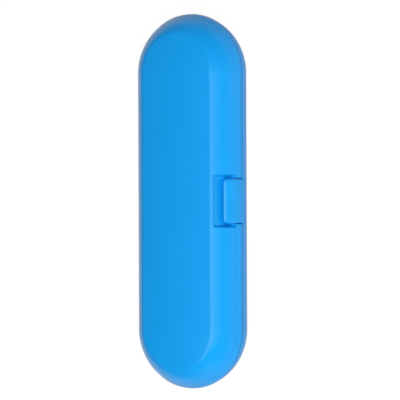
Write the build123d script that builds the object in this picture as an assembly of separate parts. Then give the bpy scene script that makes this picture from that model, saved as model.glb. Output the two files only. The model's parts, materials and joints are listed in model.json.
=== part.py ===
from build123d import *
from math import asin, cos, degrees, dist, radians, sin, sqrt, tan
import os

# Travel case for an electric toothbrush: two pill-shaped shells, hinged along one
# long side and latched on the other, with a tray inside for the handle and two heads.
#
# The case lies on its base: X along it, -Y the latch side, +Y the hinge side, +Z up.
# Pieces are drawn about the parting plane (z = 0) and the middle of the shells, and
# place() then stands the case on z = 0 with its box centred on the Z axis.

# ---- driving dimensions, mm and degrees ---------------------------------------

# shells
case_length = 210.0
case_width = 66.8
wall = 1.8                  # moulded wall of both shells
wall_radius = 20.0          # bow of the side walls, seen along the case
shoulder_lean = 55.0        # where the side wall turns into the shoulder
shoulder_radius = 9.0
crease_lean = 70.0          # where the shoulder ends in a tight crease
crown_slope = 9.0           # fall of the broad face at the crease
base_depth = 17.6           # parting plane down to the flat that the case rests on
parting_gap = 0.3

# rims
belt_radius = 15.8          # bow of the lid's rim band, which the latch follows
belt_height = 3.1
belt_edge = 1.6             # height of the bevel from the band to the lid's wall
belt_step = 0.82            # how far that bevel goes in
lid_wall_lean = 17.0        # lean of the lid's wall just above the band
base_lip_height = 0.75
base_lip_step = 0.3
base_wall_lean = 6.0
rim_thickness = 2.8         # base wall at the rim, tongue included
tongue_thickness = 1.0
tongue_height = 1.8
tongue_clearance = 0.35
rebate_head_room = 0.4      # above the tongue

# tray
handle_radius = 14.0        # trough for a handle of up to 27.5 mm
head_radius = 8.0           # bays for two brush heads
tray_skin = 1.2
tray_plate = 1.4
tray_drop = 1.8             # plate's top face below the parting plane
tray_gap = 0.3
tray_shift = 1.9            # trough and bays stand this far towards the hinge
trough_floor_gap = 0.6
trough_end_room = 1.0       # trough wall to the tray's edge at each end
head_bay_drop = 4.9         # bay's round floor is centred this far down
head_bay_end_room = 6.2
head_bay_start = 10.0       # from the middle of the case
scoop_radius = 9.0          # mouth of the finger scoop beside the handle
scoop_floor = 5.0           # radius of its floor
scoop_depth = 7.5
scoop_overlap = 4.5         # how far the scoop's middle stands from the trough's edge
grip_width = 12.0
grip_place = 58.0           # spring grips, from the middle of the case
grip_rise = 22.0            # degrees that a grip wraps above the handle's middle
stem_rest_thickness = 2.0
stem_rest_height = 4.0
stem_rest_place = 14.0      # from the bay's inner end
stem_radius = 5.0
ledge_width = 1.2
ledge_height = 1.0
ledge_root = 20.0           # lean of the base's wall where the ledge runs out
nib_reach = 0.6
nib_height = 0.8
nib_length = 8.0
nib_place = 45.0
nib_gap = 0.1

# lid ribs that keep the handle down
rib_thickness = 1.6
rib_place = 36.0
rib_clearance = 0.8
rib_foot = 3.5
rib_over_heads = 9.0

# latch and its finger pocket
latch_width = 25.2
latch_thickness = 1.8
latch_top = 46.2            # angle of its free edge above the parting plane
latch_corner = 2.1
latch_edge = 1.6
latch_side_gap = 0.4
latch_back_gap = 0.5
latch_foot = 4.0            # its notch in the base goes this far below the parting plane
notch_top = 24.0            # angle up to which the lid's rim is cut for it
barrel_radius = 1.4
barrel_clearance = 0.3
pocket_side_room = 1.85     # beyond the latch's notch on each side, at the lid's surface
pocket_draft = 26.0
pocket_top = 57.0           # angle of its far end, on the wall's bow
pocket_step = 1.2           # depth at that end
pocket_lean = 20.0          # its flat floor runs deeper towards the latch
ledge_top = 36.0            # angle of the ledge above the hook's slot
pocket_corner = 2.2
pocket_wall = 1.8           # moulded thickness behind the pocket
hook_depth = 1.1
hook_width = 16.0
hook_low = 18.5             # angles of the hook's under and upper face
hook_high = 26.0
hook_clearance = 0.35
cheek = 4.5                 # wall on each side of the latch's notch in the base

# pins
pin_radius = 0.8
latch_pin_radius = 0.6
pin_clearance = 0.05        # radial, in the piece that turns
pin_grip = 2.5              # how far the latch pin goes into each cheek
snap_slot = 1.0             # mouth that the latch pin snaps in through

# hinge
hinge_offset = 0.4          # hinge axis outside the rims
knuckle_radius = 2.0
knuckle_clearance = 0.35
base_knuckle = 5.0
lid_knuckle = 8.0
knuckle_gap = 0.3
hinge_place = 32.0          # centre of each hinge from the middle of the case
knuckle_root = 3.6          # depth of the web that carries a knuckle

# ---- sizes that follow ----------------------------------------------------------

half_width = case_width / 2
straight = case_length - case_width
end_middles = (-straight / 2, straight / 2)
rim_face = parting_gap / 2
hinge_y = half_width + hinge_offset
belt_centre = half_width - belt_radius
tongue_inner = half_width - rim_thickness
tongue_outer = tongue_inner + tongue_thickness
rebate_radius = tongue_outer + tongue_clearance
tray_radius = tongue_inner - tray_gap
tray_top = -tray_drop
tray_seat = tray_top - tray_plate
base_floor = base_depth - wall
handle_z = -(base_floor - trough_floor_gap - tray_skin - handle_radius)
pivot_z = barrel_radius + barrel_clearance - latch_foot
pivot_y = -belt_centre - sqrt((belt_radius - barrel_radius) ** 2 - pivot_z**2)
pivot_angle = degrees(asin(pivot_z / (belt_radius - barrel_radius)))
recess_half = latch_width / 2 + latch_side_gap
pocket_width = 2 * (recess_half + pocket_side_room)
pad_half = recess_half + cheek
ledge_half = hook_width / 2 + latch_side_gap + wall
plate_back = belt_radius - latch_thickness
notch_floor = plate_back - latch_back_gap
skin_radius = handle_radius + tray_skin
layout_width = 2 * (skin_radius + head_radius) + tray_skin
handle_y = layout_width / 2 - skin_radius + tray_shift
bay_y = handle_y - skin_radius - head_radius
notch_back_y = pivot_y + barrel_radius + barrel_clearance
base_pad_y = notch_back_y + wall
hinge_side_reach = hinge_y + knuckle_radius
middle_y = (hinge_side_reach - half_width) / 2


# ---- shell sections -------------------------------------------------------------


def on_arc(centre, radius, angle):
    """The point of an arc where its surface leans by angle from upright."""
    return (centre[0] + radius * cos(radians(angle)), centre[1] + radius * sin(radians(angle)))


def centre_from(point, radius, angle):
    """The centre of an arc that passes through point with that lean."""
    return on_arc(point, -radius, angle)


lid_wall_start = (
    belt_centre + sqrt(belt_radius**2 - belt_height**2) - belt_step,
    belt_height + belt_edge,
)
base_wall_start = (half_width - base_lip_step, base_lip_height + base_lip_step)


def section_arcs(start, start_lean):
    """Centre, radius and leans of a shell's wall, shoulder, crease and crown."""
    arcs = []
    leans = [start_lean, shoulder_lean, crease_lean, 90 - crown_slope]
    point = start
    for radius, low, high in zip((wall_radius, shoulder_radius, wall), leans, leans[1:]):
        centre = centre_from(point, radius, low)
        arcs.append((centre, radius, low, high))
        point = on_arc(centre, radius, high)
    crown_radius = point[0] / sin(radians(crown_slope))
    crown_centre = (0, point[1] - crown_radius * cos(radians(crown_slope)))
    return arcs + [(crown_centre, crown_radius, leans[-1], 90)]


lid_arcs = section_arcs(lid_wall_start, lid_wall_lean)
base_arcs = section_arcs(base_wall_start, base_wall_lean)
lid_depth = lid_arcs[-1][0][1] + lid_arcs[-1][1]


def section(foot, arcs, inset=0.0):
    """Half of a shell's section: up from the foot's points, along the arcs, down the middle.

    An arc as tight as the inset is left out, so that corner is sharp on the inside.
    """
    edges = []
    for centre, radius, low, high in arcs:
        if radius > inset:
            edges.append(CenterArc(centre, radius - inset, low, high - low))
    points = foot + [on_arc(arcs[0][0], arcs[0][1] - inset, arcs[0][2])]
    edges.append(Polyline(*points))
    top = on_arc(arcs[-1][0], arcs[-1][1] - inset, 90)
    edges.append(Polyline(top, (0, foot[0][1]), points[0]))
    return make_face(edges)


def pill(half_section):
    """The solid that a half section sweeps along both sides and round both ends."""
    face = Plane.YZ * half_section
    side = Pos(-straight / 2) * extrude(face, straight, dir=(1, 0, 0))
    head = Pos(straight / 2) * revolve(face, Axis.Z, -180)
    foot = Pos(-straight / 2) * revolve(face, Axis.Z, 180)
    return side + mirror(side, Plane.XZ) + head + foot


def upside_down(shape):
    return mirror(shape, Plane.XY)


def lid_outer():
    band = CenterArc(
        (belt_centre, 0),
        belt_radius,
        degrees(asin(rim_face / belt_radius)),
        degrees(asin(belt_height / belt_radius) - asin(rim_face / belt_radius)),
    )
    edges = [CenterArc(c, r, low, high - low) for c, r, low, high in lid_arcs]
    edges += [
        band,
        Line(band @ 1, lid_wall_start),
        Polyline((0, lid_depth), (0, rim_face), band @ 0),
    ]
    return pill(make_face(edges))


def lid_inner():
    upright = on_arc(lid_arcs[0][0], wall_radius - wall, lid_wall_lean)[0]
    foot = [
        (rebate_radius, -rim_face),
        (rebate_radius, tongue_height + rebate_head_room),
        (upright, tongue_height + rebate_head_room),
    ]
    return pill(section(foot, lid_arcs, wall))


def base_outer():
    foot = [(half_width, rim_face), (half_width, base_lip_height)]
    body = upside_down(pill(section(foot, base_arcs)))
    reach = (-case_length, case_length)
    return body & block(reach, reach, (-base_depth, 0))


def base_inner():
    """The hollow of the base, narrowed by the ledge that the tray sits on."""
    shelf = tongue_inner - ledge_width
    centre, radius, _, wall_top = base_arcs[0]
    arcs = [(centre, radius, ledge_root, wall_top)] + base_arcs[1:]
    foot = [
        (tongue_inner, -rim_thickness),
        (tongue_inner, -tray_seat),
        (shelf, -tray_seat),
        (shelf, -tray_seat + ledge_height),
    ]
    hollow = upside_down(pill(section(foot, arcs, wall)))
    reach = (-case_length, case_length)
    return hollow & block(reach, reach, (-base_floor, case_width))


def block(x, y, z):
    """A box from its lowest and highest x, y and z."""
    return Pos((x[0] + x[1]) / 2, (y[0] + y[1]) / 2, (z[0] + z[1]) / 2) * Box(
        x[1] - x[0], y[1] - y[0], z[1] - z[0]
    )


def rod(radius, x, y, z):
    """A round bar along X."""
    return Pos((x[0] + x[1]) / 2, y, z) * Cylinder(radius, x[1] - x[0], rotation=(0, 90, 0))


# ---- latch side -----------------------------------------------------------------


def swept(outline, centre, low, high):
    """Sweep an outline of (x, radius) points about an X axis at centre on the latch side."""
    at = Plane(origin=(0, -centre[0], centre[1]), x_dir=(1, 0, 0), z_dir=(0, 0, 1))
    turned = at.rotated((-low, 0, 0))
    points = [(x, -r) for x, r in outline]
    face = turned * make_face(Polyline(*points, close=True))
    axis = Axis((0, -centre[0], centre[1]), (-1, 0, 0))
    return revolve(face, axis, high - low)


def pocket_end(depth):
    """The point of the pocket's far end wall at a depth below the lid's surface."""
    surface = on_arc(lid_arcs[0][0], wall_radius, pocket_top)
    sunk = on_arc(surface, -depth, pocket_top)
    return on_arc(sunk, depth * tan(radians(pocket_draft)), pocket_top - 90)


def pocket_floor():
    """The high and the low end of the pocket's floor, seen along the case."""
    high = pocket_end(pocket_step)
    run = (high[1] - lid_wall_start[1]) / cos(radians(pocket_lean))
    return high, on_arc(high, run, pocket_lean - 90)


pocket_deepest = wall_radius - dist(pocket_floor()[1], lid_arcs[0][0])


def along_latch_side(points):
    """A solid along X from points of distance out from the middle, and height."""
    face = Plane.YZ * make_face(Polyline(*points, close=True))
    return mirror(extrude(face, pocket_width, both=True), Plane.XZ)


def pocket_profile():
    """Everything that the pocket may take: all above its floor but the hook's ledge."""
    high, low = pocket_floor()
    mouth = pocket_end(-case_width)
    room = along_latch_side([low, high, mouth, (mouth[0], low[1])])
    return room - arc_strip(ledge_half, notch_floor / 2, notch_floor, 0, ledge_top)


def finger_pocket():
    """The drafted recess in the lid's wall that lets a fingertip under the latch."""
    centre = lid_arcs[0][0]
    slope = tan(radians(pocket_draft))
    outline = []
    for side, depth in ((-1, pocket_deepest), (1, pocket_deepest), (1, -wall), (-1, -wall)):
        outline.append((side * (pocket_width / 2 - depth * slope), wall_radius - depth))
    deep, mouth = pocket_end(wall_radius), pocket_end(-case_width)
    below_end = along_latch_side([deep, mouth, (mouth[0], deep[1])])
    cutter = swept(outline, centre, 0, 90) & below_end
    end = cutter.faces().filter_by(GeomType.PLANE).sort_by(Axis.Z)[-1]
    corners = [e for e in end.edges() if abs(e.center().X) > recess_half / 2]
    return fillet(corners, pocket_corner) & pocket_profile()


def arc_strip(half, inner, outer, low, high):
    """A strip that follows the rim band's bow, between two radii and two angles."""
    outline = [(-half, inner), (half, inner), (half, outer), (-half, outer)]
    return swept(outline, (belt_centre, 0), low, high)


def latch_clip():
    """The latch: a bowed plate with a hook behind it, on a barrel that takes the pin."""
    half = latch_width / 2
    plate = arc_strip(half, plate_back, belt_radius, pivot_angle, latch_top)
    free_end = plate.faces().sort_by(Axis.Z)[-1]
    plate = fillet(free_end.edges().filter_by(Axis.X, reverse=True), latch_corner)
    front = plate.faces().filter_by(GeomType.CYLINDER).sort_by(SortBy.AREA)[-1]
    plate = fillet([e for e in front.edges() if e.center().Z > pivot_z / 2], latch_edge)
    barrel = rod(barrel_radius, (-half, half), pivot_y, pivot_z)
    root = belt_radius - latch_edge
    hook = arc_strip(hook_width / 2, plate_back - hook_depth, root, hook_low, hook_high)
    bore = rod(latch_pin_radius + pin_clearance, (-case_width, case_width), pivot_y, pivot_z)
    return plate + barrel + hook - bore


def latch_pin():
    reach = recess_half + pin_grip
    return rod(latch_pin_radius, (-reach, reach), pivot_y, pivot_z)


def barrel_room():
    return rod(barrel_radius + barrel_clearance, (-recess_half, recess_half), pivot_y, pivot_z)


def latch_notch():
    """What the base's rim loses for the latch's foot and its swing."""
    span = (-recess_half, recess_half)
    swing = block(span, (-case_width, pivot_y), (-latch_foot, case_width))
    return barrel_room() + swing + block(span, (pivot_y, notch_back_y), (pivot_z, case_width))


def pin_seats():
    """The grooves for the latch pin's ends, each with the mouth that the pin snaps through."""
    seats = Part()
    mouth = (pivot_y - snap_slot / 2, pivot_y + snap_slot / 2)
    for side in (-1, 1):
        ends = sorted((side * recess_half, side * (recess_half + pin_grip)))
        seats += rod(latch_pin_radius, ends, pivot_y, pivot_z)
        seats += block(ends, mouth, (pivot_z, case_width))
    return seats


def lid_latch_cuts():
    """Finger pocket, notch for the latch's plate and slot for its hook."""
    notch = arc_strip(recess_half, notch_floor, belt_radius + wall, -notch_top, notch_top)
    slot = arc_strip(
        hook_width / 2 + latch_side_gap,
        plate_back - hook_depth - hook_clearance,
        plate_back,
        hook_low - degrees(hook_clearance / notch_floor),
        hook_high + degrees(hook_clearance / notch_floor),
    )
    return finger_pocket() + notch + slot + barrel_room()


# ---- hinge ----------------------------------------------------------------------


def hinge_pins():
    half = lid_knuckle / 2 + knuckle_gap + base_knuckle
    return [rod(pin_radius, (x - half, x + half), hinge_y, 0) for x in (-hinge_place, hinge_place)]


def knuckle(x, low_root, side):
    """One knuckle with its web: side is 1 on the lid and -1 on the base."""
    root = [
        (hinge_y, side * rim_face),
        (hinge_y, side * knuckle_radius),
        (hinge_y - knuckle_radius / 2, side * knuckle_root),
        (low_root, side * knuckle_root),
        (low_root, side * rim_face),
    ]
    web = Pos(x[0]) * extrude(Plane.YZ * make_face(Polyline(*root, close=True)), x[1] - x[0],
                              dir=(1, 0, 0))
    return web + rod(knuckle_radius, x, hinge_y, 0)


def lid_knuckle_spans():
    return [(x - lid_knuckle / 2, x + lid_knuckle / 2) for x in (-hinge_place, hinge_place)]


def base_knuckle_spans():
    near = lid_knuckle / 2 + knuckle_gap
    spans = []
    for x in (-hinge_place, hinge_place):
        spans.append((x - near - base_knuckle, x - near))
        spans.append((x + near, x + near + base_knuckle))
    return spans


def knuckle_room(spans):
    """Round clearance in one shell for the other shell's knuckles."""
    room = Part()
    for low, high in spans:
        ends = (low - knuckle_gap, high + knuckle_gap)
        room += rod(knuckle_radius + knuckle_clearance, ends, hinge_y, 0)
    return room


# ---- shells ---------------------------------------------------------------------


def lid_ribs():
    """Two ribs across the lid that keep the handle in its trough."""
    ribs = Part()
    for x in (-rib_place, rib_place):
        span = (x - rib_thickness / 2, x + rib_thickness / 2)
        ribs += block(span, (-half_width, half_width), (rib_foot, lid_depth))
    ribs &= lid_outer()
    ends = (-case_length, case_length)
    ribs -= rod(handle_radius + rib_clearance, ends, handle_y, handle_z)
    return ribs - block(ends, (-half_width, handle_y), (0, rib_over_heads))


def pad_hollow():
    """The space inside the thicker wall round the pocket."""
    radius = wall_radius - pocket_deepest - pocket_wall
    bow = CenterArc(lid_arcs[0][0], radius, lid_wall_lean, 90 - lid_wall_lean)
    low, high = bow @ 0, bow @ 1
    foot = -rim_face
    outline = Polyline((high.X, high.Y), (0, high.Y), (0, foot), (low.X, foot), (low.X, low.Y))
    return pill(make_face([bow, outline]))


def lid_shell():
    outer = lid_outer()
    end_y = pocket_wall - pocket_floor()[0][0]
    pad = outer & block((-pad_half, pad_half), (-half_width, end_y), (rim_face, lid_depth))
    pad -= pad_hollow()
    shell = outer - lid_inner() + pad + lid_ribs()
    shell -= lid_latch_cuts()
    shell -= knuckle_room(base_knuckle_spans())
    for span in lid_knuckle_spans():
        shell += knuckle(span, rebate_radius + tongue_clearance, 1)
    return shell - rod(pin_radius + pin_clearance, (-case_length, case_length), hinge_y, 0)


def base_shell():
    outer = base_outer()
    pad = outer & block(
        (-pad_half, pad_half), (-half_width, base_pad_y), (-latch_foot - wall, -rim_face)
    )
    shell = outer - base_inner() + pad + tongue()
    for x in (-nib_place, nib_place):
        for side in (-1, 1):
            reach = sorted((side * (tongue_inner - nib_reach), side * (tongue_inner + nib_reach)))
            low = tray_top + nib_gap
            span = (x - nib_length / 2, x + nib_length / 2)
            shell += block(span, reach, (low, low + nib_height))
    shell -= latch_notch() + pin_seats()
    shell -= knuckle_room(lid_knuckle_spans())
    for span in base_knuckle_spans():
        shell += knuckle(span, tongue_inner + tongue_thickness / 2, -1)
    return shell - rod(pin_radius, (-case_length, case_length), hinge_y, 0)


def tongue():
    """The lip inside the base's rim that the lid closes over, open where the latch works."""
    inner = upright_slot(tongue_inner, end_middles, 0, (-rim_thickness, case_width))
    outer = upright_slot(tongue_outer, end_middles, 0, (-rim_thickness, tongue_height))
    lip = outer - inner
    reach = pad_half + tongue_clearance
    return lip - block((-reach, reach), (-half_width, 0), (-rim_face, case_width))


# ---- tray -----------------------------------------------------------------------


def capsule(radius, x, y, z):
    """A bar along X with round ends, whose ends' middles are at the two x."""
    return rod(radius, x, y, z) + [Pos(end, y, z) * Sphere(radius) for end in x]


def upright_slot(radius, x, y, z):
    """A slot-shaped prism along X between two heights, its ends' middles at the two x."""
    outline = SlotOverall(x[1] - x[0] + 2 * radius, 2 * radius)
    return Pos((x[0] + x[1]) / 2, y, z[0]) * extrude(outline, z[1] - z[0])


def trough_spans():
    """Middles of the trough's two ends."""
    reach = tray_radius - trough_end_room - skin_radius
    x = straight / 2 + sqrt(reach**2 - handle_y**2)
    return (-x, x)


def round_floored(radius, x, y, z, top):
    """A bay with a round floor along X and upright round ends, up to a height."""
    floor = rod(radius, (x[0] - radius, x[1] + radius), y, z)
    body = floor + block((x[0] - radius, x[1] + radius), (y - radius, y + radius), (z, top))
    return body & upright_slot(radius, x, y, (z - radius, top))


def bay_spans():
    """Middles of each brush-head bay's two ends."""
    skin = head_radius + tray_skin
    reach = tray_radius - head_bay_end_room - skin
    far = straight / 2 + sqrt(reach**2 - bay_y**2)
    near = head_bay_start + head_radius
    return [(-far, -near), (near, far)]


def finger_scoop(skin):
    """The dish beside the trough for a fingertip, or with a skin its outside."""
    depth = scoop_depth + skin
    dish = Cone(scoop_floor + skin, scoop_radius + skin, depth)
    return Pos(0, handle_y - handle_radius - scoop_overlap, tray_top - depth / 2) * dish


def inner_tray():
    """One moulding: handle trough, two brush-head bays and a finger scoop in a flat plate."""
    bay_z = -head_bay_drop
    body = upright_slot(tray_radius, end_middles, 0, (tray_seat, tray_top))
    body += capsule(skin_radius, trough_spans(), handle_y, handle_z)
    body += finger_scoop(tray_skin)
    for span in bay_spans():
        body += round_floored(head_radius + tray_skin, span, bay_y, bay_z, tray_top)
    body -= block((-case_length, case_length), (-case_width, case_width), (tray_top, case_width))
    body += handle_grips()
    body -= capsule(handle_radius, trough_spans(), handle_y, handle_z)
    body -= finger_scoop(0)
    for span in bay_spans():
        body -= round_floored(head_radius, span, bay_y, bay_z, 0)
    notch = pad_half + tray_gap
    body -= block((-notch, notch), (-case_width, base_pad_y + tray_gap), (-case_width, 0))
    return body + stem_rests()


def handle_grips():
    """Two bands round the handle, cut by the trough into four arms that spring over it."""
    top = handle_z + skin_radius * sin(radians(grip_rise))
    grips = Part()
    for x in (-grip_place, grip_place):
        span = (x - grip_width / 2, x + grip_width / 2)
        grips += rod(skin_radius, span, handle_y, handle_z)
    keep = block((-case_length, case_length), (-case_width, case_width), (tray_seat, top))
    return grips & keep


def stem_rests():
    """A low saddle across each bay that the brush head's stem lies on."""
    floor_z = -head_bay_drop - head_radius
    rests = Part()
    for side in (-1, 1):
        x = side * (head_bay_start + stem_rest_place)
        span = (x - stem_rest_thickness / 2, x + stem_rest_thickness / 2)
        rest = rod(head_radius + tray_skin / 2, span, bay_y, -head_bay_drop)
        rest &= block(span, (-case_width, case_width), (-case_width, floor_z + stem_rest_height))
        rests += rest - rod(stem_radius, span, bay_y, -head_bay_drop)
    return rests


# ---- pieces ---------------------------------------------------------------------


def place(shape):
    """Stand the case on z = 0 with its box centred on the Z axis."""
    return Pos(0, -middle_y, base_depth) * shape


pieces = {
    "base_shell": base_shell(),
    "lid_shell": lid_shell(),
    "inner_tray": inner_tray(),
    "latch_clip": latch_clip(),
    "latch_pin": latch_pin(),
    "hinge_pins": Compound(hinge_pins()),
}

os.makedirs("parts", exist_ok=True)
for name, piece in pieces.items():
    export_step(place(piece), f"parts/{name}.step")
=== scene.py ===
# %% [markdown]
# # A travel case for an electric toothbrush
#
# The CAD model gives every moulding its true size. This script loads it, lays a
# finished skin over each piece, mixes the plastics and the steel, and sets up a table
# top, soft lamps and a camera. All sizes are in metres.

# %% Load the frame
import json
import math

import bmesh
import bpy
from mathutils import Matrix, Vector

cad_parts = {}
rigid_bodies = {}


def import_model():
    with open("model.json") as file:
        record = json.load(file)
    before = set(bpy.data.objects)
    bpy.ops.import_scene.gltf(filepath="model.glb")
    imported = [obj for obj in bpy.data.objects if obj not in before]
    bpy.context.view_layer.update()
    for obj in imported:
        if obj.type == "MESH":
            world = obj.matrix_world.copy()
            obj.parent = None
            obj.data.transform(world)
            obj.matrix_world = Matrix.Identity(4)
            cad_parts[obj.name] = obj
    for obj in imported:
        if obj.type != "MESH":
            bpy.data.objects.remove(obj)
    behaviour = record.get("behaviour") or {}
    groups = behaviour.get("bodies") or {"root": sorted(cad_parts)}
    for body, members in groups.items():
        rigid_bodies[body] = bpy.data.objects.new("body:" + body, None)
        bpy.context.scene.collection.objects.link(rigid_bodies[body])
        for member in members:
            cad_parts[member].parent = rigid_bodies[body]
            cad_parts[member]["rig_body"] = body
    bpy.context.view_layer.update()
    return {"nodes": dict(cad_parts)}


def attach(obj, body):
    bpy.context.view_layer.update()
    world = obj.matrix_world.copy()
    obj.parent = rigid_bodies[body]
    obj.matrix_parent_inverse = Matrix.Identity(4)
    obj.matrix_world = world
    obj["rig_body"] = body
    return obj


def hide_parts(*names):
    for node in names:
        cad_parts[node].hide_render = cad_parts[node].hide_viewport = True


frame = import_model()

# %% [markdown]
# ## Finished skins
#
# The two shells, the tray and the latch are plastic mouldings. They could be modelled
# again, but the CAD meshes already have their true shape. Those arrive as loose
# triangles, which would show as facets on the bowed walls. So each one is copied, its
# corners are merged, and its faces are shaded smooth except across real edges. A
# weighted normal keeps broad faces calm beside small radii.

# %% Skin helpers
MERGE = 1e-6
SHARP = math.radians(30)
BODY_OF = {node: obj["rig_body"] for node, obj in frame["nodes"].items()}


def smooth(mesh):
    """Merge a mesh's loose corners and shade it smooth, except across real edges."""
    shape = bmesh.new()
    shape.from_mesh(mesh)
    bmesh.ops.remove_doubles(shape, verts=shape.verts, dist=MERGE)
    for face in shape.faces:
        face.smooth = True
    for edge in shape.edges:
        edge.smooth = len(edge.link_faces) == 2 and edge.calc_face_angle(0) < SHARP
    shape.to_mesh(mesh)
    shape.free()


def stand_for(piece, node):
    """Show a piece in place of a CAD node, on the node's own body."""
    bpy.context.scene.collection.objects.link(piece)
    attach(piece, BODY_OF[node])
    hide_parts(node)
    print(piece.name, "faces", len(piece.data.polygons))


def skin(node, name):
    """A merged, smooth-shaded copy of a CAD node that stands for it."""
    mesh = frame["nodes"][node].data.copy()
    mesh.name = name
    smooth(mesh)
    mesh.materials.clear()
    piece = bpy.data.objects.new(name, mesh)
    calm = piece.modifiers.new("calm normals", "WEIGHTED_NORMAL")
    calm.keep_sharp = True
    stand_for(piece, node)
    return piece


# %% The four mouldings
base = skin("base_shell", "base_moulding")
lid = skin("lid_shell", "lid_moulding")
tray = skin("inner_tray", "tray_moulding")
latch = skin("latch_clip", "latch_moulding")

# %% [markdown]
# ## Node helpers
#
# Node groups are small machines with labelled sockets. Nodes could be placed and linked
# one by one, but a few helpers keep their building short: one makes a group, one adds a
# node, one links a list of sockets and one writes a Math node as a sum is written.

# %% Group helpers
FLOAT, WHOLE, VECTOR = "NodeSocketFloat", "NodeSocketInt", "NodeSocketVector"
GEOMETRY = "NodeSocketGeometry"


def new_group(name, inputs, outputs, tree_kind="ShaderNodeTree"):
    """A node group, with its input and output nodes."""
    tree = bpy.data.node_groups.new(name, tree_kind)
    for label, kind, value in inputs:
        socket = tree.interface.new_socket(label, in_out="INPUT", socket_type=kind)
        if value is not None:
            socket.default_value = value
    for label, kind in outputs:
        tree.interface.new_socket(label, in_out="OUTPUT", socket_type=kind)
    return tree, tree.nodes.new("NodeGroupInput"), tree.nodes.new("NodeGroupOutput")


def add(tree, kind, values=None, **settings):
    """A node with its settings, and the values of its unlinked sockets."""
    node = tree.nodes.new(kind)
    for key, value in settings.items():
        setattr(node, key, value)
    for key, value in (values or {}).items():
        node.inputs[key].default_value = value
    return node


# %% Linking helpers


def wire(tree, *links):
    """Link each output to its input."""
    for output, socket in links:
        tree.links.new(output, socket)


def maths(tree, operation, *terms):
    """The result of a Math node whose terms are outputs or numbers."""
    node = add(tree, "ShaderNodeMath", operation=operation)
    for socket, term in zip(node.inputs, terms):
        if isinstance(term, (int, float)):
            socket.default_value = term
        else:
            tree.links.new(term, socket)
    return node.outputs[0]


def object_place(tree):
    """Where a point lies on its own piece."""
    return add(tree, "ShaderNodeTexCoord").outputs["Object"]


# %% [markdown]
# ## Moulded surface
#
# The steel mould of a case like this is spark-eroded, so the plastic has a fine even
# grain that softens its reflections, and a broad, very faint unevenness where it shrank
# over the ribs. An image of grain would need the pieces unwrapped and would show its
# dots close up. Noise on the object's own coordinates has neither fault: the fine one
# becomes height for a bump, the broad one a mask that shifts colour and gloss a little.

# %% Moulded surface group
moulded, given, out = new_group(
    "moulded surface",
    [("Grain Scale", FLOAT, 2500.0), ("Mottle Scale", FLOAT, 35.0)],
    [("Height", FLOAT), ("Mottle", FLOAT)],
)
place = object_place(moulded)
grain = add(moulded, "ShaderNodeTexNoise", {"Detail": 2.0, "Roughness": 0.6})
mottle = add(moulded, "ShaderNodeTexNoise", {"Detail": 3.0, "Roughness": 0.5})
spread = add(moulded, "ShaderNodeMapRange", {"From Min": 0.2, "From Max": 0.8},
             interpolation_type="SMOOTHSTEP")
wire(
    moulded,
    (place, grain.inputs["Vector"]),
    (given.outputs["Grain Scale"], grain.inputs["Scale"]),
    (place, mottle.inputs["Vector"]),
    (given.outputs["Mottle Scale"], mottle.inputs["Scale"]),
    (mottle.outputs["Fac"], spread.inputs["Value"]),
    (grain.outputs["Fac"], out.inputs["Height"]),
    (spread.outputs["Result"], out.inputs["Mottle"]),
)
print("group", moulded.name, "nodes", len(moulded.nodes))

# %% [markdown]
# ## Rubbed edges
#
# A case that travels gets its sharp edges rubbed paler. They could be painted one by
# one. Comparing the true normal with one that has been rounded over a small radius
# finds them wherever they are, and a noise breaks the rub up so that it isn't a drawn
# line.

# %% Rubbed edge group
rubbed, given, out = new_group(
    "rubbed edges",
    [("Radius", FLOAT, 0.0004), ("Amount", FLOAT, 0.5), ("Patch Scale", FLOAT, 120.0)],
    [("Mask", FLOAT)],
)
rounded = add(rubbed, "ShaderNodeBevel", samples=4)
surface = add(rubbed, "ShaderNodeNewGeometry")
compare = add(rubbed, "ShaderNodeVectorMath", operation="DOT_PRODUCT")
edges = add(rubbed, "ShaderNodeMapRange", {"From Min": 0.98, "From Max": 0.75})
patches = add(rubbed, "ShaderNodeTexNoise", {"Detail": 2.0})
wire(
    rubbed,
    (given.outputs["Radius"], rounded.inputs["Radius"]),
    (rounded.outputs["Normal"], compare.inputs[0]),
    (surface.outputs["Normal"], compare.inputs[1]),
    (compare.outputs["Value"], edges.inputs["Value"]),
    (object_place(rubbed), patches.inputs["Vector"]),
    (given.outputs["Patch Scale"], patches.inputs["Scale"]),
)
broken_up = maths(rubbed, "MULTIPLY", edges.outputs["Result"], patches.outputs["Fac"])
faded = maths(rubbed, "MULTIPLY", broken_up, given.outputs["Amount"])
wire(rubbed, (faded, out.inputs["Mask"]))
print("group", rubbed.name, "nodes", len(rubbed.nodes))

# %% [markdown]
# ## Painted shade line
#
# Above the band round the lid's rim the wall steps in, and a darker blue is painted
# into that corner as painted shade. It could be painted on by hand, but the corner has
# one height and keeps one distance from the case's spine, so a group with those sizes
# as inputs finds it all the way round, on the outside only. A noise makes it uneven.

# %% Painted shade line group
shade_line, given, out = new_group(
    "painted shade line",
    [("Height", FLOAT, 0.02), ("Thickness", FLOAT, 0.0003), ("Spine Half", FLOAT, 0.07),
     ("Spine Y", FLOAT, 0.0), ("Least Radius", FLOAT, 0.03)],
    [("Mask", FLOAT)],
)
place = object_place(shade_line)
split = add(shade_line, "ShaderNodeSeparateXYZ")
from_spine = add(shade_line, "ShaderNodeCombineXYZ")
radius = add(shade_line, "ShaderNodeVectorMath", operation="LENGTH")
nearness = add(shade_line, "ShaderNodeMapRange", {"From Max": 0.0})
uneven = add(shade_line, "ShaderNodeTexNoise", {"Scale": 90.0, "Detail": 2.0})
patchy = add(shade_line, "ShaderNodeMapRange",
             {"From Min": 0.2, "From Max": 0.7, "To Min": 0.6})

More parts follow.
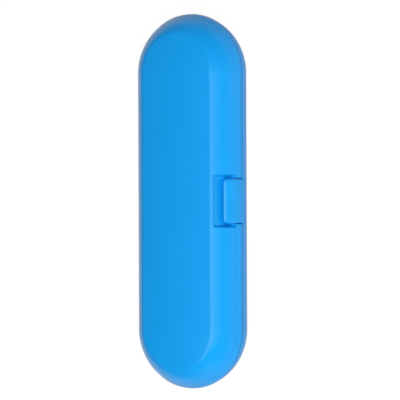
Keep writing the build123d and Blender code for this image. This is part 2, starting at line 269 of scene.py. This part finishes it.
along = maths(shade_line, "ABSOLUTE", split.outputs["X"])
past_spine = maths(shade_line, "SUBTRACT", along, given.outputs["Spine Half"])
above = maths(shade_line, "SUBTRACT", split.outputs["Z"], given.outputs["Height"])
wire(
    shade_line,
    (place, split.inputs[0]),
    (maths(shade_line, "MAXIMUM", past_spine, 0.0), from_spine.inputs["X"]),
    (maths(shade_line, "SUBTRACT", split.outputs["Y"], given.outputs["Spine Y"]),
     from_spine.inputs["Y"]),
    (from_spine.outputs[0], radius.inputs[0]),
    (maths(shade_line, "ABSOLUTE", above), nearness.inputs["Value"]),
    (given.outputs["Thickness"], nearness.inputs["From Min"]),
    (place, uneven.inputs["Vector"]),
    (uneven.outputs["Fac"], patchy.inputs["Value"]),
)
outside = maths(shade_line, "GREATER_THAN",
                radius.outputs["Value"], given.outputs["Least Radius"])
on_line = maths(shade_line, "MULTIPLY", nearness.outputs["Result"], outside)
shade_mask = maths(shade_line, "MULTIPLY", on_line, patchy.outputs["Result"])
wire(shade_line, (shade_mask, out.inputs["Mask"]))
print("group", shade_line.name, "nodes", len(shade_line.nodes))

# %% [markdown]
# ## Painted tip highlight
#
# The latch's free end gets a paler blue, a painted highlight along its rounded edge. A
# painted mask would have to follow that end's rounded corners. But the free end is the
# highest part of the latch, so a mask that grows with height marks it just as well.

# %% Painted tip highlight group
tip_glint, given, out = new_group(
    "painted tip highlight",
    [("From Height", FLOAT, 0.0), ("To Height", FLOAT, 0.001)],
    [("Mask", FLOAT)],
)
split = add(tip_glint, "ShaderNodeSeparateXYZ")
grow = add(tip_glint, "ShaderNodeMapRange")
wire(
    tip_glint,
    (object_place(tip_glint), split.inputs[0]),
    (split.outputs["Z"], grow.inputs["Value"]),
    (given.outputs["From Height"], grow.inputs["From Min"]),
    (given.outputs["To Height"], grow.inputs["From Max"]),
    (grow.outputs["Result"], out.inputs["Mask"]),
)
print("group", tip_glint.name, "nodes", len(tip_glint.nodes))

# %% [markdown]
# ## Plastics
#
# The shells and the latch are a half-gloss blue plastic, the tray a duller pale one.
# Each could be a material of its own, but they differ only in numbers, so one recipe
# makes them all: a base colour shifted by the mottle, edges mixed towards a paler
# colour, roughness that follows the mottle, and the grain as a bump.

# %% Material helpers
MIX_UNDER, MIX_OVER, MIX_RESULT = 6, 7, 2     # a Mix node's colour sockets


def new_material(name):
    """A material, its node tree and its Principled shader."""
    material = bpy.data.materials.new(name)
    material.use_nodes = True
    return material, material.node_tree, material.node_tree.nodes["Principled BSDF"]


def blend(tree, mask, under, over):
    """A colour that goes from under to over as a mask goes from 0 to 1."""
    node = add(tree, "ShaderNodeMix", data_type="RGBA")
    tree.links.new(mask, node.inputs["Factor"])
    for index, colour in ((MIX_UNDER, under), (MIX_OVER, over)):
        if isinstance(colour, tuple):
            node.inputs[index].default_value = (*colour, 1)
        else:
            tree.links.new(colour, node.inputs[index])
    return node.outputs[MIX_RESULT]


# %% Plastic recipe
PLASTIC_IOR = 1.5


def plastic(name, colour, shade, worn, rough, grain_depth, wear_and_highlight):
    """A moulded plastic. Colours are linear RGB, rough is (least, most)."""
    material, tree, shader = new_material(name)
    surface = add(tree, "ShaderNodeGroup", node_tree=moulded)
    edges = add(tree, "ShaderNodeGroup", {"Amount": wear_and_highlight}, node_tree=rubbed)
    gloss = add(tree, "ShaderNodeMapRange", {"To Min": rough[0], "To Max": rough[1]})
    bump = add(tree, "ShaderNodeBump", {"Strength": 1.0, "Distance": grain_depth})
    tint = blend(tree, surface.outputs["Mottle"], shade, colour)
    wire(
        tree,
        (blend(tree, edges.outputs["Mask"], tint, worn), shader.inputs["Base Color"]),
        (surface.outputs["Mottle"], gloss.inputs["Value"]),
        (gloss.outputs["Result"], shader.inputs["Roughness"]),
        (surface.outputs["Height"], bump.inputs["Height"]),
        (bump.outputs["Normal"], shader.inputs["Normal"]),
    )
    shader.inputs["IOR"].default_value = PLASTIC_IOR
    print(name, "roughness", rough, "edge wear", wear_and_highlight)
    return material


# %% Blue and pale finishes
BLUE = (0.002, 0.350, 0.870)
BLUE_SHADE = (0.002, 0.338, 0.845)
BLUE_WORN = (0.06, 0.48, 0.93)
BLUE_ROUGH = (0.285, 0.325)
BLUE_GRAIN = 3e-6
PALE = (0.66, 0.70, 0.74)
PALE_SHADE = (0.62, 0.66, 0.70)
PALE_WORN = (0.80, 0.82, 0.84)
PALE_ROUGH = (0.48, 0.56)
PALE_GRAIN = 6e-6
# The latch's edges are lightened more than the shells': partly edge wear, partly a
# painted highlight.
SHELL_WEAR, LATCH_WEAR_AND_HIGHLIGHT, TRAY_WEAR = 0.25, 0.6, 0.3

blue_finish = (BLUE, BLUE_SHADE, BLUE_WORN, BLUE_ROUGH, BLUE_GRAIN)
pale_finish = (PALE, PALE_SHADE, PALE_WORN, PALE_ROUGH, PALE_GRAIN)
base_blue = plastic("blue moulded plastic", *blue_finish, SHELL_WEAR)
lid_blue = plastic("blue lid plastic", *blue_finish, SHELL_WEAR)
latch_blue = plastic("blue latch plastic", *blue_finish, LATCH_WEAR_AND_HIGHLIGHT)
tray_pale = plastic("pale tray plastic", *pale_finish, TRAY_WEAR)
for piece, finish in ((base, base_blue), (lid, lid_blue), (latch, latch_blue),
                      (tray, tray_pale)):
    piece.data.materials.append(finish)

# %% [markdown]
# The painted shade and the painted highlight lie over the finished plastic, so each is
# one more mix in front of the base colour of the piece that has it. The same painted
# shade group serves again for painted shade in the parting gap, on the lower edge of
# the lid's rim and the upper edge of the base's.

# %% Painted shade and highlight
# Painted shade: a darker blue laid into the corner above the band's step.
CORNER_SHADE = (0.002, 0.26, 0.69)
# Painted shade: a darker blue laid along the parting gap.
GAP_SHADE = (0.001, 0.25, 0.71)
# Painted highlight: a paler blue laid on the latch's free end.
TIP_HIGHLIGHT = (0.18, 0.60, 1.00)
SPINE = {"Spine Half": 0.0716, "Spine Y": -0.0012}
BAND_STEP = {"Height": 0.0223, "Thickness": 0.0004, "Least Radius": 0.0315}
PARTING_GAP = {"Thickness": 0.0005, "Least Radius": 0.0330}
LID_EDGE, BASE_EDGE = 0.0178, 0.0174
LATCH_TIP = {"From Height": 0.0280, "To Height": 0.0288}


def lay_over(material, group, values, colour):
    """Mix a colour over a material's base colour where a group's mask is 1."""
    tree = material.node_tree
    base_colour = tree.nodes["Principled BSDF"].inputs["Base Color"]
    mask = add(tree, "ShaderNodeGroup", values, node_tree=group)
    under = base_colour.links[0].from_socket
    tree.links.new(blend(tree, mask.outputs["Mask"], under, colour), base_colour)
    print(material.name, "has", group.name)


# Painted shade in the corner above the lid's band.
lay_over(lid_blue, shade_line, {**BAND_STEP, **SPINE}, CORNER_SHADE)
# Painted shade along the parting gap, on both shells.
for shell, height in ((lid_blue, LID_EDGE), (base_blue, BASE_EDGE)):
    lay_over(shell, shade_line, {"Height": height, **PARTING_GAP, **SPINE}, GAP_SHADE)
# Painted highlight on the latch's free end.
lay_over(latch_blue, tip_glint, LATCH_TIP, TIP_HIGHLIGHT)

# %% [markdown]
# ## Drawn steel
#
# The pins are drawn wire, cut to length, so their scratches run along them. Fine lines
# could be cut into the mesh, but on pins this thin shading is enough: a noise stretched
# along X gives the lines, and drives colour, roughness and a slight bump.

# %% Drawn steel
STEEL_DARK, STEEL_LIGHT = (0.42, 0.42, 0.43), (0.62, 0.62, 0.63)
STEEL_ROUGH = (0.25, 0.45)
SCRATCH_SCALE = (60.0, 4000.0, 4000.0)
SCRATCH_DEPTH = 3e-6

steel, tree, shader = new_material("drawn steel")
stretch = add(tree, "ShaderNodeMapping", {"Scale": SCRATCH_SCALE})
lines = add(tree, "ShaderNodeTexNoise", {"Scale": 1.0, "Detail": 2.0})
gloss = add(tree, "ShaderNodeMapRange",
            {"To Min": STEEL_ROUGH[0], "To Max": STEEL_ROUGH[1]})
bump = add(tree, "ShaderNodeBump", {"Distance": SCRATCH_DEPTH})
tone = blend(tree, lines.outputs["Fac"], STEEL_DARK, STEEL_LIGHT)
wire(
    tree,
    (object_place(tree), stretch.inputs["Vector"]),
    (stretch.outputs["Vector"], lines.inputs["Vector"]),
    (tone, shader.inputs["Base Color"]),
    (lines.outputs["Fac"], gloss.inputs["Value"]),
    (gloss.outputs["Result"], shader.inputs["Roughness"]),
    (lines.outputs["Fac"], bump.inputs["Height"]),
    (bump.outputs["Normal"], shader.inputs["Normal"]),
)
shader.inputs["Metallic"].default_value = 1.0
print("materials", [m.name for m in bpy.data.materials])

# %% [markdown]
# ## Wire pins
#
# Two pins hold the hinges and a thinner, longer one carries the latch. They are one
# shape in three places: wire with its cut ends tumbled round. Three cylinders would do,
# but a Geometry Nodes tree with the sizes as inputs makes them all, and it gives the
# ends their rounding: ten points on a line are drawn towards its two ends along a
# quarter circle, and a ring is swept through them.

# %% Wire pins tree
POINTS = 10
RING_SIDES = 24

pins_tree, given, out = new_group(
    "wire pins",
    [("Length", FLOAT, 0.02), ("Radius", FLOAT, 0.0008), ("Rounding", FLOAT, 0.00025),
     ("Count", WHOLE, 1), ("Spacing", FLOAT, 0.0), ("Place", VECTOR, None)],
    [("Pins", GEOMETRY)],
    tree_kind="GeometryNodeTree",
)
line = add(pins_tree, "GeometryNodeCurvePrimitiveLine",
           {"Start": (-1, 0, 0), "End": (1, 0, 0)})
points = add(pins_tree, "GeometryNodeResampleCurve", {"Count": POINTS})
where = add(pins_tree, "GeometryNodeInputPosition")
split = add(pins_tree, "ShaderNodeSeparateXYZ")
turn = add(pins_tree, "ShaderNodeMapRange",
           {"From Min": 1 / (POINTS - 1), "To Max": math.pi / 2})
wire(
    pins_tree,
    (line.outputs["Curve"], points.inputs["Curve"]),
    (where.outputs[0], split.inputs[0]),
    (maths(pins_tree, "ABSOLUTE", split.outputs["X"]), turn.inputs["Value"]),
)
print("group", pins_tree.name, "points", POINTS, "sides", RING_SIDES)

# %% [markdown]
# The quarter circle gives each point its distance from the middle and its girth. The
# sweep takes the girth from its scale input, so the radius set on the curve is read
# back and handed over there.

# %% Points drawn to the ends and swept
angle, rounding = turn.outputs["Result"], given.outputs["Rounding"]
half_length = maths(pins_tree, "MULTIPLY", given.outputs["Length"], 0.5)
straight = maths(pins_tree, "SUBTRACT", half_length, rounding)
core = maths(pins_tree, "SUBTRACT", given.outputs["Radius"], rounding)
sine, cosine = (maths(pins_tree, operation, angle) for operation in ("SINE", "COSINE"))
reach = maths(pins_tree, "MULTIPLY_ADD", sine, rounding, straight)
girth = maths(pins_tree, "MULTIPLY_ADD", cosine, rounding, core)
side = maths(pins_tree, "SIGN", split.outputs["X"])

thick = add(pins_tree, "GeometryNodeSetCurveRadius")
drawn = add(pins_tree, "GeometryNodeSetPosition")
to_ends = add(pins_tree, "ShaderNodeCombineXYZ")
ring = add(pins_tree, "GeometryNodeCurvePrimitiveCircle",
           {"Resolution": RING_SIDES, "Radius": 1.0})
sweep = add(pins_tree, "GeometryNodeCurveToMesh", {"Fill Caps": True})
kept = add(pins_tree, "GeometryNodeInputRadius")
wire(
    pins_tree,
    (points.outputs["Curve"], thick.inputs["Curve"]),
    (girth, thick.inputs["Radius"]),
    (thick.outputs["Curve"], drawn.inputs["Geometry"]),
    (maths(pins_tree, "MULTIPLY", side, reach), to_ends.inputs["X"]),
    (to_ends.outputs[0], drawn.inputs["Position"]),
    (drawn.outputs["Geometry"], sweep.inputs["Curve"]),
    (ring.outputs["Curve"], sweep.inputs["Profile Curve"]),
    (kept.outputs[0], sweep.inputs["Scale"]),
)
print("group", pins_tree.name, "nodes", len(pins_tree.nodes))

# %% [markdown]
# The hinge pins lie in one row, so the pin is copied onto a line of points whose middle
# is the place given. The copies are then made real and given their steel.

# %% Pins in a row
row = add(pins_tree, "GeometryNodeMeshLine")
step = add(pins_tree, "ShaderNodeCombineXYZ")
back_up = add(pins_tree, "ShaderNodeCombineXYZ")
start = add(pins_tree, "ShaderNodeVectorMath", operation="SUBTRACT")
copies = add(pins_tree, "GeometryNodeInstanceOnPoints")
real = add(pins_tree, "GeometryNodeRealizeInstances")
steeled = add(pins_tree, "GeometryNodeSetMaterial", {"Material": steel})
half_gaps = maths(pins_tree, "MULTIPLY",
                  maths(pins_tree, "SUBTRACT", given.outputs["Count"], 1), 0.5)
half_row = maths(pins_tree, "MULTIPLY", half_gaps, given.outputs["Spacing"])
wire(
    pins_tree,
    (given.outputs["Spacing"], step.inputs["X"]),
    (half_row, back_up.inputs["X"]),
    (given.outputs["Place"], start.inputs[0]),
    (back_up.outputs[0], start.inputs[1]),
    (given.outputs["Count"], row.inputs["Count"]),
    (start.outputs[0], row.inputs["Start Location"]),
    (step.outputs[0], row.inputs["Offset"]),
    (row.outputs["Mesh"], copies.inputs["Points"]),
    (sweep.outputs["Mesh"], copies.inputs["Instance"]),
    (copies.outputs["Instances"], real.inputs["Geometry"]),
    (real.outputs["Geometry"], steeled.inputs["Geometry"]),
    (steeled.outputs["Geometry"], out.inputs["Pins"]),
)
print("group", pins_tree.name, "nodes", len(pins_tree.nodes))

# %% The pins
HINGE_WIRE = {"Length": 0.0186, "Radius": 0.0008, "Count": 2, "Spacing": 0.064,
              "Place": (0.0, 0.0326, 0.0176)}
LATCH_WIRE = {"Length": 0.031, "Radius": 0.0006, "Place": (0.0, -0.033015, 0.0153)}


def wire_pins(name, node, sizes):
    """Pins of the given sizes, made a plain mesh that stands for a CAD node."""
    piece = bpy.data.objects.new(name, bpy.data.meshes.new(name))
    bpy.context.scene.collection.objects.link(piece)
    maker = piece.modifiers.new("pins", "NODES")
    maker.node_group = pins_tree
    for item in pins_tree.interface.items_tree:
        if item.in_out == "INPUT":
            maker[item.identifier] = sizes.get(item.name, item.default_value)
    made = bpy.data.meshes.new_from_object(
        piece.evaluated_get(bpy.context.evaluated_depsgraph_get()))
    piece.modifiers.remove(maker)
    bpy.context.scene.collection.objects.unlink(piece)
    smooth(made)
    made.polygons.foreach_set("material_index", [0] * len(made.polygons))
    made.materials.clear()
    made.materials.append(steel)
    piece.data = made
    stand_for(piece, node)


wire_pins("hinge_axles", "hinge_pins", HINGE_WIRE)
wire_pins("latch_axle", "latch_pin", LATCH_WIRE)

# %% [markdown]
# ## Table top
#
# The case lies on a white table top. A real one would need strong lamps to look white,
# and they would bleach the plastic. Here the table glows for the camera instead, with
# the case's soft shadow still on it, and is an ordinary matte surface to every other
# ray. Reflections see part of the glow, more of it on the hinge side, where the pale
# rim along the case's far edge mirrors it.

# %% Table top
FLOOR_HALF = 3.0
FLOOR_DROP = 0.0002              # keeps it clear of the flat that the case rests on

floor_mesh = bpy.data.meshes.new("table_top")
corners = [(-FLOOR_HALF, -FLOOR_HALF), (FLOOR_HALF, -FLOOR_HALF),
           (FLOOR_HALF, FLOOR_HALF), (-FLOOR_HALF, FLOOR_HALF)]
floor_mesh.from_pydata([(x, y, -FLOOR_DROP) for x, y in corners], [], [(0, 1, 2, 3)])
floor = bpy.data.objects.new("table_top", floor_mesh)
bpy.context.scene.collection.objects.link(floor)
print("table top", 2 * FLOOR_HALF, "m square")

# %% White table finish
TABLE = (0.55, 0.55, 0.55)
TABLE_ROUGH = 0.9
GLOW = 1.07
GLOW_SHARE = 0.90
MIRRORED_SHARE = (0.24, 0.85)    # latch side, hinge side
HINGE_SIDE = (0.02, 0.06)        # where it grows from one to the other

white, tree, shader = new_material("white table top")
shader.inputs["Base Color"].default_value = (*TABLE, 1)
shader.inputs["Roughness"].default_value = TABLE_ROUGH
shader.inputs["Specular IOR Level"].default_value = 0.0
glow = add(tree, "ShaderNodeEmission", {"Strength": GLOW})
rays = add(tree, "ShaderNodeLightPath")
split = add(tree, "ShaderNodeSeparateXYZ")
by_side = add(tree, "ShaderNodeMapRange", {
    "From Min": HINGE_SIDE[0], "From Max": HINGE_SIDE[1],
    "To Min": MIRRORED_SHARE[0], "To Max": MIRRORED_SHARE[1]})
mix = add(tree, "ShaderNodeMixShader")
seen = maths(tree, "MULTIPLY", rays.outputs["Is Camera Ray"], GLOW_SHARE)
share = maths(tree, "MULTIPLY_ADD", rays.outputs["Is Glossy Ray"],
              by_side.outputs["Result"], seen)
wire(
    tree,
    (object_place(tree), split.inputs[0]),
    (split.outputs["Y"], by_side.inputs["Value"]),
    (share, mix.inputs["Fac"]),
    (shader.outputs[0], mix.inputs[1]),
    (glow.outputs[0], mix.inputs[2]),
    (mix.outputs[0], tree.nodes["Material Output"].inputs["Surface"]),
)
floor_mesh.materials.append(white)
print(white.name, "nodes", len(tree.nodes))

# %% [markdown]
# ## Light
#
# Gloss shows where the lamps are, so each lamp has one job. A broad key from the latch
# side lights the colours, and a low fill opens the near end. Both are kept out of
# reflections. A card overhead and a dim one beside the latch are what the gloss
# mirrors: they draw the bright line along the shoulder. A dim surround keeps shadows
# soft.

# %% Surround
SURROUND = 0.15

world = bpy.data.worlds.new("studio surround")
bpy.context.scene.world = world
world.use_nodes = True
background = world.node_tree.nodes["Background"]
background.inputs["Color"].default_value = (1, 1, 1, 1)
background.inputs["Strength"].default_value = SURROUND
print(world.name, SURROUND)

# %% Lamps


def lamp(name, towards, distance, size, radiance, mirrored=True):
    """A soft rectangular lamp in a direction from the case, of an even brightness."""
    light = bpy.data.lights.new(name, "AREA")
    light.shape = "RECTANGLE"
    light.size, light.size_y = size
    light.energy = radiance * math.pi * size[0] * size[1]
    obj = bpy.data.objects.new(name, light)
    direction = Vector(towards).normalized()
    turned = direction.to_track_quat("Z", "Y").to_matrix().to_4x4()
    obj.matrix_world = Matrix.Translation(direction * distance) @ turned
    obj.visible_glossy = mirrored
    bpy.context.scene.collection.objects.link(obj)
    print(name, round(light.energy, 2), "W")


lamp("key lamp", towards=(-0.12, -0.60, 0.80), distance=1.8, size=(1.0, 1.0),
     radiance=8.05, mirrored=False)
lamp("low fill", towards=(-0.97, -0.20, 0.12), distance=1.5, size=(0.8, 0.8),
     radiance=2.6, mirrored=False)
lamp("side card", towards=(-0.10, -0.97, 0.20), distance=1.6, size=(1.6, 1.2),
     radiance=0.15)
lamp("top card", towards=(-0.27, -0.19, 0.95), distance=1.6, size=(1.25, 0.95),
     radiance=1.65)

# %% [markdown]
# ## Camera
#
# A near camera would make the near end of a long case look wider. This one stands far
# off with a long lens, so the case keeps its parallel sides. It looks down on the case,
# turned a third of a right angle towards the latch, and the length runs up the frame.

# %% Camera
TURN = math.radians(33.5)       # from straight above, towards the latch
ROLL = math.radians(-0.23)
DISTANCE = 4.0
FRAME_WIDTH = 0.2245            # seen at the middle of the case
SENSOR = 36.0
PIXELS = 400
MIDDLE = Vector((0, -0.0012, 0.0176))
MIDDLE_PIXEL = (192.40, 201.20)

back = Vector((0, -math.sin(TURN), math.cos(TURN)))
right = Vector((0, -math.cos(TURN), -math.sin(TURN)))
up = Vector((1, 0, 0))
rolled_right = right * math.cos(ROLL) + up * math.sin(ROLL)
rolled_up = up * math.cos(ROLL) - right * math.sin(ROLL)
metres = FRAME_WIDTH / PIXELS
aim = (MIDDLE - rolled_right * (MIDDLE_PIXEL[0] - PIXELS / 2) * metres
       + rolled_up * (MIDDLE_PIXEL[1] - PIXELS / 2) * metres)

eye = bpy.data.cameras.new("long lens")
eye.sensor_width = SENSOR
eye.lens = SENSOR * DISTANCE / FRAME_WIDTH
eye.clip_end = 3 * DISTANCE
camera = bpy.data.objects.new("camera", eye)
turned = Matrix((rolled_right, rolled_up, back)).transposed().to_4x4()
camera.matrix_world = Matrix.Translation(aim + back * DISTANCE) @ turned
bpy.context.scene.collection.objects.link(camera)
bpy.context.scene.camera = camera
bpy.context.scene.view_settings.view_transform = "Standard"
print("lens", round(eye.lens), "mm")
